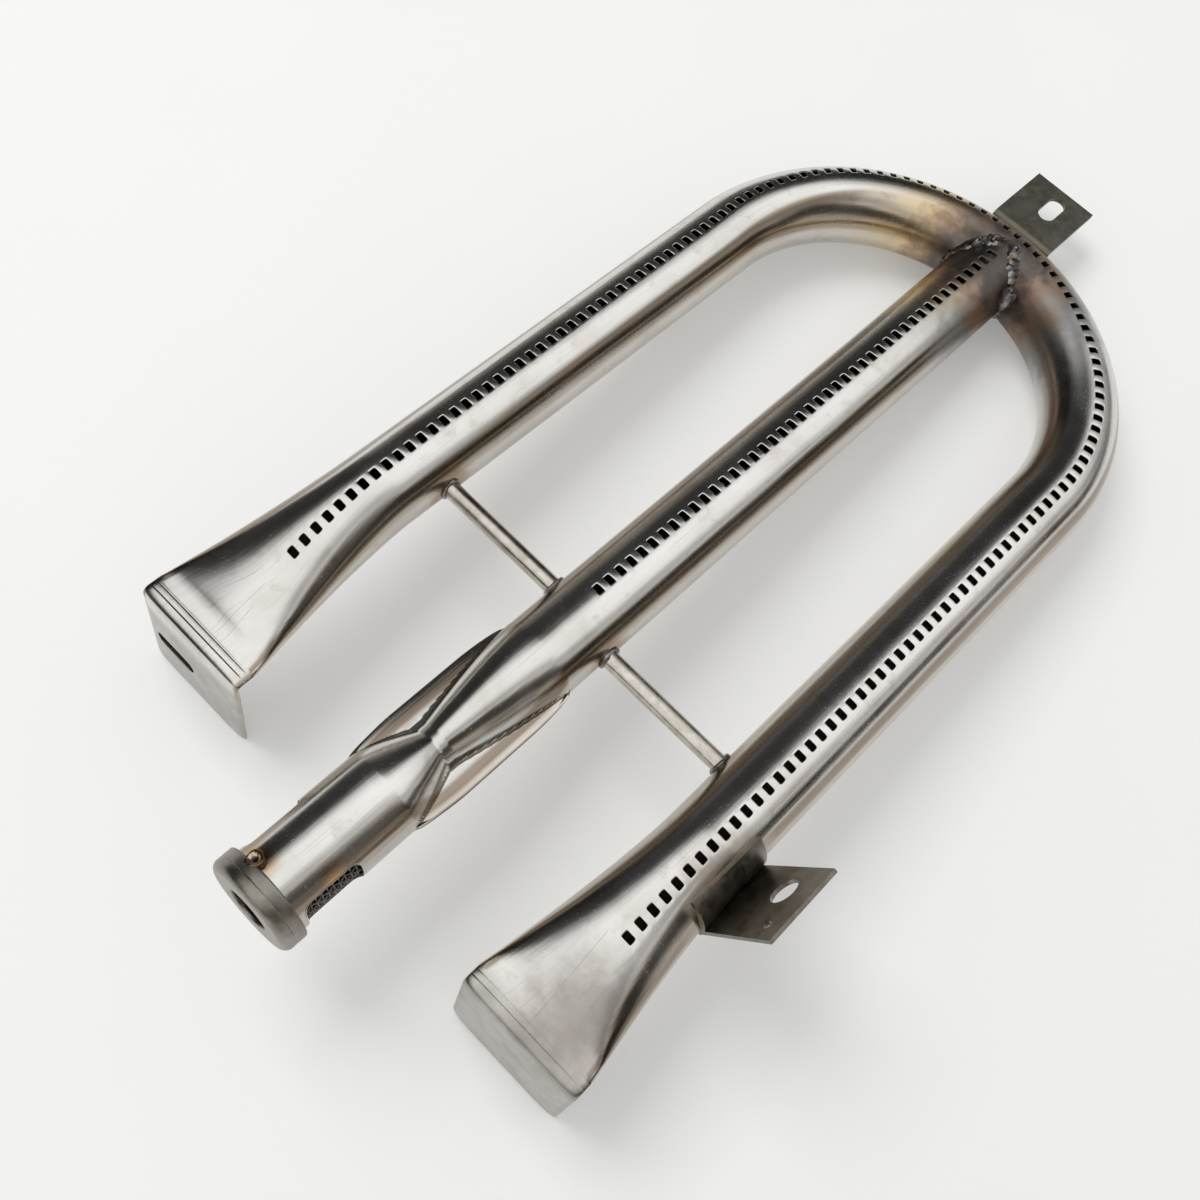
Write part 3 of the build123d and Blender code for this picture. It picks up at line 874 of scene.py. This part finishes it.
class Paint(Nodes):
    """A node material; here is a place in row-frame millimetres, along the distances on a tube's wall."""

    def __init__(self, name):
        self.material = bpy.data.materials.new(name)
        self.material.use_nodes = True
        super().__init__(self.material.node_tree)
        self.shader = self.tree.nodes["Principled BSDF"]
        place = self.node("ShaderNodeTexCoord")
        self.here = self.stretch(place.outputs["Object"], (1000, 1000, 1000))
        self.along = self.stretch(place.outputs["UV"], (100, 100, 0))

    def stretch(self, vector, by):
        return self.node("ShaderNodeVectorMath", {0: vector, 1: by}, operation="MULTIPLY").outputs[0]

    def noise(self, at, scale, detail, stretch=(1, 1, 1), warp=0.0):
        inputs = {"Vector": self.stretch(at, stretch), "Scale": scale, "Detail": detail}
        inputs.update({"Roughness": 0.55, "Distortion": warp})
        return self.node("ShaderNodeTexNoise", inputs).outputs["Fac"]

    def distance(self, point):
        """Distance from a point given from the bend's centre."""
        target = (point[0], point[1] + BEND_Y, point[2])
        made = self.node("ShaderNodeVectorMath", {0: self.here, 1: target}, operation="DISTANCE")
        return made.outputs["Value"]

    def finish(self, colour, rough, bump=(), metallic=1.0):
        """Link up the shader; bump is (height, strength, size in millimetres) for each layer."""
        self.shader.inputs["Metallic"].default_value = metallic
        self.tree.links.new(colour, self.shader.inputs["Base Color"])
        self.tree.links.new(rough, self.shader.inputs["Roughness"])
        normal = None
        for height, strength, size in bump:
            inputs = {"Height": height, "Strength": strength, "Distance": size / 1000}
            made = self.node("ShaderNodeBump", inputs)
            if normal is not None:
                self.tree.links.new(normal, made.inputs["Normal"])
            normal = made.outputs["Normal"]
        if normal is not None:
            self.tree.links.new(normal, self.shader.inputs["Normal"])
        return self.material


def scratched(paint, colour, scribes):
    """Fine straight scratches, each given by its X, its lean, and the Y of its ends."""
    spot_x, spot_y, _ = paint.split(paint.here)
    for x, slant, start, end in scribes:
        half = (end - start) / 2
        shifted = paint.math("SUBTRACT", spot_y, (start + end) / 2 + BEND_Y)
        line = paint.math("SUBTRACT", spot_x, paint.math("MULTIPLY_ADD", shifted, slant, third=x))
        ends = paint.span(paint.math("ABSOLUTE", shifted), half - 2, half, 1.0, 0.0)
        core = paint.span(paint.math("ABSOLUTE", line), 0.04, 0.15, 0.4, 0.0)
        colour = paint.mix(paint.math("MULTIPLY", core, ends), colour, (0.26, 0.23, 0.20))
    return colour


def joint_heat(paint, d, x):
    """Soot, copper and straw on the left of the T joint; soot, copper and blue-grey on its right."""
    reach = paint.span(d, 6, 58)
    left = paint.ramp(reach, [
        (0.0, (0.05, 0.042, 0.038)), (0.10, (0.13, 0.10, 0.08)), (0.22, (0.30, 0.205, 0.14)),
        (0.38, (0.50, 0.37, 0.23)), (0.52, (0.70, 0.57, 0.37)), (1.0, (0.69, 0.66, 0.61))])
    right_side = paint.ramp(reach, [
        (0.0, (0.05, 0.042, 0.038)), (0.12, (0.13, 0.10, 0.085)), (0.27, (0.34, 0.225, 0.16)),
        (0.42, (0.33, 0.28, 0.24)), (0.6, (0.36, 0.36, 0.355)), (1.0, (0.56, 0.555, 0.54))])
    return paint.mix(paint.span(x, -6, 8), left, right_side)


def tube_steel(name, heat_spots, scribes=()):
    """Satin stainless tube: lengthwise drawing lines, soft stains, a painted brown reflection band on both
    flanks, and heat colours round the welds.
    """
    paint = Paint(name)
    fine = paint.noise(paint.along, 1.0, 5.0, (2.2, 0.035, 1))
    coarse = paint.noise(paint.along, 1.0, 3.0, (0.35, 0.012, 1))
    cloud = paint.noise(paint.here, 0.035, 3.0, warp=0.6)
    smear = paint.noise(paint.here, 0.16, 4.0, warp=0.3)
    specks = paint.noise(paint.here, 1.1, 3.0)
    around, length, _ = paint.split(paint.along)
    x = paint.split(paint.here)[0]
    jitter = paint.math("MULTIPLY", paint.math("SUBTRACT", smear, 0.5), 26.0)
    joint = paint.math("ADD", paint.distance((0, 58, 0)), jitter)

    # clean steel, with stains and drawing lines
    colour = paint.ramp(cloud, [
        (0.3, (0.60, 0.575, 0.54)), (0.5, (0.70, 0.685, 0.66)), (0.7, (0.76, 0.75, 0.73))])
    stain = paint.math("MULTIPLY", paint.span(smear, 0.56, 0.74), 0.45)
    colour = paint.mix(stain, colour, (0.50, 0.44, 0.37))
    colour = paint.mix(paint.span(fine, 0.55, 0.75, 0.0, 0.34), colour, (0.42, 0.39, 0.36))

    # painted reflection: a brown band along both flanks, patchy along the tube and darkest in a narrow line
    flank = paint.math("ABSOLUTE", paint.math("SUBTRACT", around, R_OUT * math.pi / 2))
    patchy = paint.span(coarse, 0.35, 0.65, 0.6, 1.0)
    painted_flank_band = paint.math("MULTIPLY", paint.span(flank, 8.0, 11.0, 0.0, 0.8), patchy)
    painted_flank_band = paint.math("MULTIPLY", painted_flank_band, paint.span(flank, 12.5, 16.0, 1.0, 0.45))
    colour = paint.mix(painted_flank_band, colour, (0.40, 0.315, 0.225))
    fading = paint.span(flank, 12.4, 14.0, 1.0, 0.0)
    painted_flank_line = paint.math("MULTIPLY", paint.span(flank, 8.6, 10.2, 0.0, 0.6), fading)
    colour = paint.mix(painted_flank_line, colour, (0.17, 0.128, 0.09))

    # duller tabs, scratches, and tints round the small welds
    tab = paint.span(paint.math("ABSOLUTE", length), 329.0, 337.0)
    tab_tone = paint.ramp(smear, [(0.35, (0.34, 0.325, 0.295)), (0.65, (0.46, 0.445, 0.41))])
    colour = paint.mix(paint.math("MULTIPLY", tab, 0.85), colour, tab_tone)
    colour = scratched(paint, colour, scribes)
    for point, near, far, tone in heat_spots:
        d = paint.math("ADD", paint.distance(point), paint.math("MULTIPLY", jitter, far / 40))
        colour = paint.mix(paint.span(d, near, far, 0.85, 0.0), colour, tone)
    colour = paint.mix(paint.span(joint, 34, 60, 0.9, 0.0), colour, joint_heat(paint, joint, x))

    rough = paint.math("ADD", paint.span(cloud, 0.3, 0.7, 0.13, 0.20), paint.math("MULTIPLY", fine, 0.06))
    dull = paint.math("MULTIPLY", paint.span(joint, 14, 62, 1.0, 0.0), paint.span(x, -40, 20, 0.06, 0.26))
    rough = paint.math("ADD", rough, dull, clamp=True)
    rough = paint.math("ADD", rough, paint.math("MULTIPLY", tab, 0.12), clamp=True)
    rough = paint.math("ADD", rough, paint.span(specks, 0.6, 0.75, 0.0, 0.10), clamp=True)
    return paint.finish(colour, rough, [(coarse, 0.3, 0.22), (fine, 0.14, 0.04), (specks, 0.05, 0.02)])


def sheet_steel(name, light, dark, low, high, grain=(1, 1, 1)):
    """Duller pressed steel with cloudy stains and fine rolling marks; low and high are its roughness."""
    paint = Paint(name)
    cloud = paint.noise(paint.here, 0.25, 5.0, warp=0.5)
    lines = paint.noise(paint.here, 1.6, 5.0, grain)
    colour = paint.ramp(cloud, [(0.32, dark), (0.68, light)])
    colour = paint.mix(paint.span(lines, 0.55, 0.8, 0.0, 0.35), colour, tuple(c * 0.72 for c in dark))
    rough = paint.math("ADD", paint.span(cloud, 0.3, 0.7, low, high), paint.math("MULTIPLY", lines, 0.08))
    return paint.finish(colour, rough, [(lines, 0.35, 0.06), (cloud, 0.15, 0.3)])


def weld_metal(name):
    """Rough weld with soot, blue-grey oxide and a few bright crests."""
    paint = Paint(name)
    cloud = paint.noise(paint.here, 0.35, 5.0)
    grit = paint.noise(paint.here, 2.4, 4.0)
    colour = paint.ramp(cloud, [(0.3, (0.10, 0.085, 0.075)), (0.44, (0.27, 0.225, 0.19)),
                                (0.56, (0.33, 0.34, 0.37)), (0.75, (0.55, 0.51, 0.46))])
    rough = paint.span(grit, 0.3, 0.7, 0.28, 0.5)
    return paint.finish(colour, rough, [(grit, 0.5, 0.12), (cloud, 0.4, 0.3)])


def plug_metal(name, centre):
    """Plug weld: dark crater, bright ring, burnt brown skirt."""
    paint = Paint(name)
    grit = paint.noise(paint.here, 1.6, 4.0)
    jitter = paint.math("MULTIPLY", paint.math("SUBTRACT", grit, 0.5), 0.7)
    d = paint.math("ADD", paint.distance(centre), jitter)
    colour = paint.ramp(paint.span(d, 0.4, 3.4), [
        (0.0, (0.07, 0.05, 0.045)), (0.2, (0.12, 0.08, 0.06)), (0.36, (0.66, 0.58, 0.48)),
        (0.62, (0.58, 0.45, 0.30)), (0.82, (0.24, 0.12, 0.06)), (1.0, (0.12, 0.07, 0.05))])
    return paint.finish(colour, paint.span(grit, 0.3, 0.7, 0.2, 0.38), [(grit, 0.3, 0.08)])


def floor_paint():
    """Matt white board that glows faintly as painted light, so that it stays pale in the shade between the
    legs.
    """
    paint = Paint("floor_white")
    cloud = paint.noise(paint.here, 0.004, 3.0)
    colour = paint.ramp(cloud, [(0.3, (0.80, 0.80, 0.79)), (0.7, (0.83, 0.83, 0.82))])
    # painted light: the board glows faintly, though it is no lamp
    paint.shader.inputs["Emission Color"].default_value = (1.0, 1.0, 0.99, 1.0)
    paint.shader.inputs["Emission Strength"].default_value = 0.23
    return paint.finish(colour, paint.span(cloud, 0.0, 1.0, 0.6, 0.7), metallic=0.0)


BROWN = (0.36, 0.26, 0.18)
SOOT = (0.16, 0.13, 0.11)
plug_angle = math.radians(CAP_WELD_LEAN)
plug = (R_OUT * math.sin(plug_angle), CAP_BACK + 0.6, R_OUT * math.cos(plug_angle))
outer_steel = tube_steel("outer_steel", [
    ((-LEG + R_OUT, BAR_Y[-1], 0), 4, 11, BROWN),
    ((LEG - R_OUT, BAR_Y[1], 0), 4, 11, BROWN),
    ((LEG + R_OUT, -166, 2), 10, 22, (0.44, 0.38, 0.31)),
    ((LEG + 7, -216, -4), 2, 25, (0.27, 0.24, 0.215)),
    ((0, LEG + R_OUT, 0), 8, 20, BROWN),
], ((-64.6, 0.018, -216, -197), (-61.9, -0.06, -217, -203), (66.9, -0.067, -238, -197)))
centre_steel = tube_steel("centre_steel", [
    ((-R_OUT, BAR_Y[-1], 0), 4, 10, BROWN),
    ((R_OUT, BAR_Y[1], 0), 4, 10, BROWN),
    (plug, 2.2, 7.5, (0.50, 0.33, 0.16)),
    (plug, 1.0, 4.2, SOOT),
    ((8.5, -237.8, 8), 1.0, 5.0, (0.52, 0.36, 0.2)),
])
cap_steel = sheet_steel("cap_steel", (0.36, 0.335, 0.295), (0.23, 0.21, 0.18), 0.26, 0.38)
rear_steel = sheet_steel("rear_bracket_steel", (0.20, 0.19, 0.15), (0.13, 0.122, 0.095), 0.30, 0.42)
side_steel = sheet_steel("side_bracket_steel", (0.36, 0.33, 0.29), (0.20, 0.18, 0.155), 0.26, 0.38)
bar_steel = sheet_steel("bar_steel", (0.66, 0.62, 0.57), (0.46, 0.42, 0.36), 0.14, 0.22, (0.15, 3, 3))
wire_steel = sheet_steel("wire_steel", (0.26, 0.24, 0.22), (0.13, 0.12, 0.11), 0.3, 0.45)
# painted shade: the tubes' inside faces and cut rims are near black, standing in for the shade inside the
# tubes
inner_painted_shade = sheet_steel("inner_painted_shade", (0.11, 0.10, 0.09), (0.05, 0.045, 0.04), 0.4, 0.55)
weld_steel = weld_metal("weld_steel")
plug_steel = plug_metal("plug_steel", plug)

STEELS = {
    "outer_tube": outer_steel,
    "centre_tube": centre_steel,
    "inlet_cap": cap_steel,
    "inlet_cap_weld": plug_steel,
    "air_screen": wire_steel,
    "crossbar_left": bar_steel,
    "crossbar_right": bar_steel,
    "crossbar_welds": weld_steel,
    "rear_bracket": rear_steel,
    "rear_bracket_welds": weld_steel,
    "side_bracket": side_steel,
    "tee_weld_left": weld_steel,
    "tee_weld_right": weld_steel,
}
for node, material in STEELS.items():
    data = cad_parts[node].data
    data.materials.clear()
    data.materials.append(material)

# ---------------------------------------------------------------- pieces
outer = make_outer()
outer_piece = outer.make("outer_tube_skin", outer_steel, "tube", ["outer_tube"], flip=outer.side < 0)
thicken(outer_piece, 0.93, inner_painted_shade)
centre = make_centre()
centre_piece = centre.make("centre_tube_skin", centre_steel, "tube", ["centre_tube"], flip=centre.side < 0)
thicken(centre_piece, 0.8, inner_painted_shade)
make_cap().make("inlet_cap_turned", cap_steel, "cap", ["inlet_cap"])
make_screen().make("air_screen_woven", wire_steel, "wire", ["air_screen"])
make_cap_weld().make("inlet_cap_weld_bead", plug_steel, "weld", ["inlet_cap_weld"])
make_bar_welds().make("crossbar_weld_beads", weld_steel, "weld", ["crossbar_welds"])
make_rear_welds().make("rear_bracket_weld_beads", weld_steel, "weld", ["rear_bracket_welds"])
make_tee_weld(-1).make("tee_weld_left_bead", weld_steel, "weld", ["tee_weld_left"])
make_tee_weld(1).make("tee_weld_right_bead", weld_steel, "weld", ["tee_weld_right"])
for node in ("rear_bracket", "side_bracket"):
    soften(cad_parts[node], 0.15)


# ---------------------------------------------------------------- floor, light and camera
def make_floor():
    """A flat board under the front tabs' lower edges and the underside of the bend."""
    front = Vector((0, (TAB_FACE + LEFT_END + BEND_Y) / 1000, TAB_BOTTOM / 1000))
    rear = Vector((0, (LEG + BEND_Y) / 1000, -R_OUT / 1000))
    slope = math.atan2(rear.z - front.z, rear.y - front.y)
    gap = 0.0003
    middle = Vector((0, (front.y + rear.y) / 2, (front.z + rear.z) / 2 - gap))
    run = Vector((0, math.cos(slope), math.sin(slope)))
    half = 4
    signs = ((-1, -1), (1, -1), (1, 1), (-1, 1))
    corners = [middle + Vector((x * half, 0, 0)) + run * y * half for x, y in signs]
    mesh = bpy.data.meshes.new("floor")
    mesh.from_pydata(corners, [], [(0, 1, 2, 3)])
    mesh.materials.append(floor_paint())
    floor = bpy.data.objects.new("floor", mesh)
    bpy.context.scene.collection.objects.link(floor)


make_floor()

# the camera looks at the focus from a distance, along a heading and an elevation, and is rolled
focus = Vector((-0.00136, (BEND_Y - 130.34) / 1000, 0))
distance = 0.38811
heading = math.radians(-26.074)
elevation = math.radians(61.604)
roll = math.radians(20.252)
flat = math.cos(elevation)
ahead = Vector((math.sin(heading) * flat, math.cos(heading) * flat, -math.sin(elevation)))
level = ahead.cross(Vector((0, 0, 1))).normalized()
right = level * math.cos(roll) + level.cross(ahead) * math.sin(roll)
top = right.cross(ahead)
camera_data = bpy.data.cameras.new("camera")
camera_data.lens = 40.951
camera_data.sensor_width = 36.0
camera_data.clip_start = 0.01
camera_data.clip_end = 20.0
camera = bpy.data.objects.new("camera", camera_data)
bpy.context.scene.collection.objects.link(camera)
camera.matrix_world = Matrix((right, top, -ahead)).transposed().to_4x4()
camera.location = focus - ahead * distance
bpy.context.scene.camera = camera


def soft_box(name, across, upward, height, size, power):
    """Square lamp placed by the camera's right and up, aimed at the burner, not seen in the steel."""
    flat_right = Vector((right.x, right.y, 0)).normalized()
    flat_up = Vector((-flat_right.y, flat_right.x, 0))
    data = bpy.data.lights.new(name, "AREA")
    data.shape = "SQUARE"
    data.size = size
    data.energy = power
    made = bpy.data.objects.new(name, data)
    bpy.context.scene.collection.objects.link(made)
    made.location = focus + flat_right * across + flat_up * upward + Vector((0, 0, height))
    made.rotation_mode = "QUATERNION"
    made.rotation_quaternion = (focus - made.location).to_track_quat("-Z", "Y")
    made.visible_glossy = False


soft_box("key", -1.0, 0.8, 2.0, 1.3, 23)

# What the steel reflects: a broad soft light over the legs, dark on either side of it.  Bands run
# along the legs and are given by their angle from overhead, in degrees towards the right leg.
WARM = (1.0, 0.90, 0.77)
PLAIN = (1.0, 1.0, 0.99)
BANDS = (
    (-100, 0.22, WARM), (-80, 0.10, WARM), (-64, 0.02, PLAIN), (-30, 0.012, PLAIN), (-18, 0.03, PLAIN),
    (-9, 0.40, PLAIN), (2, 0.60, PLAIN), (40, 0.56, PLAIN), (50, 0.32, PLAIN), (57, 0.20, PLAIN),
    (62, 0.40, PLAIN), (66, 0.34, WARM), (70, 0.02, WARM), (92, 0.03, WARM), (102, 0.24, WARM),
)
AMBIENT = (0.25, 0.25, 0.248)


def make_studio():
    """Even light for every matt surface, and the bands for the reflections only."""
    world = bpy.data.worlds.new("studio")
    bpy.context.scene.world = world
    world.use_nodes = True
    room = Nodes(world.node_tree)
    x, y, z = room.split(room.node("ShaderNodeTexCoord").outputs["Generated"])
    shift = room.span(y, 0.12, 0.46, math.radians(24), 0.0)
    turn = room.math("ADD", room.math("ARCTAN2", x, z), shift)
    inputs = {"Value": turn, "From Min": -math.pi, "From Max": math.pi}
    place = room.node("ShaderNodeMapRange", inputs).outputs["Result"]
    stops = [(degrees / 360 + 0.5, [level * tone for tone in tint]) for degrees, level, tint in BANDS]
    bands = room.ramp(place, stops)
    dim = room.span(y, 0.62, 0.9, 1.0, 0.35)
    seen = room.node("ShaderNodeVectorMath", {0: bands, "Scale": dim}, operation="SCALE").outputs[0]
    glossy = room.node("ShaderNodeLightPath").outputs["Is Glossy Ray"]
    back = room.tree.nodes["Background"]
    room.tree.links.new(room.mix(glossy, AMBIENT, seen), back.inputs["Color"])
    back.inputs["Strength"].default_value = 2.0


make_studio()
bpy.context.scene.view_settings.view_transform = "Standard"
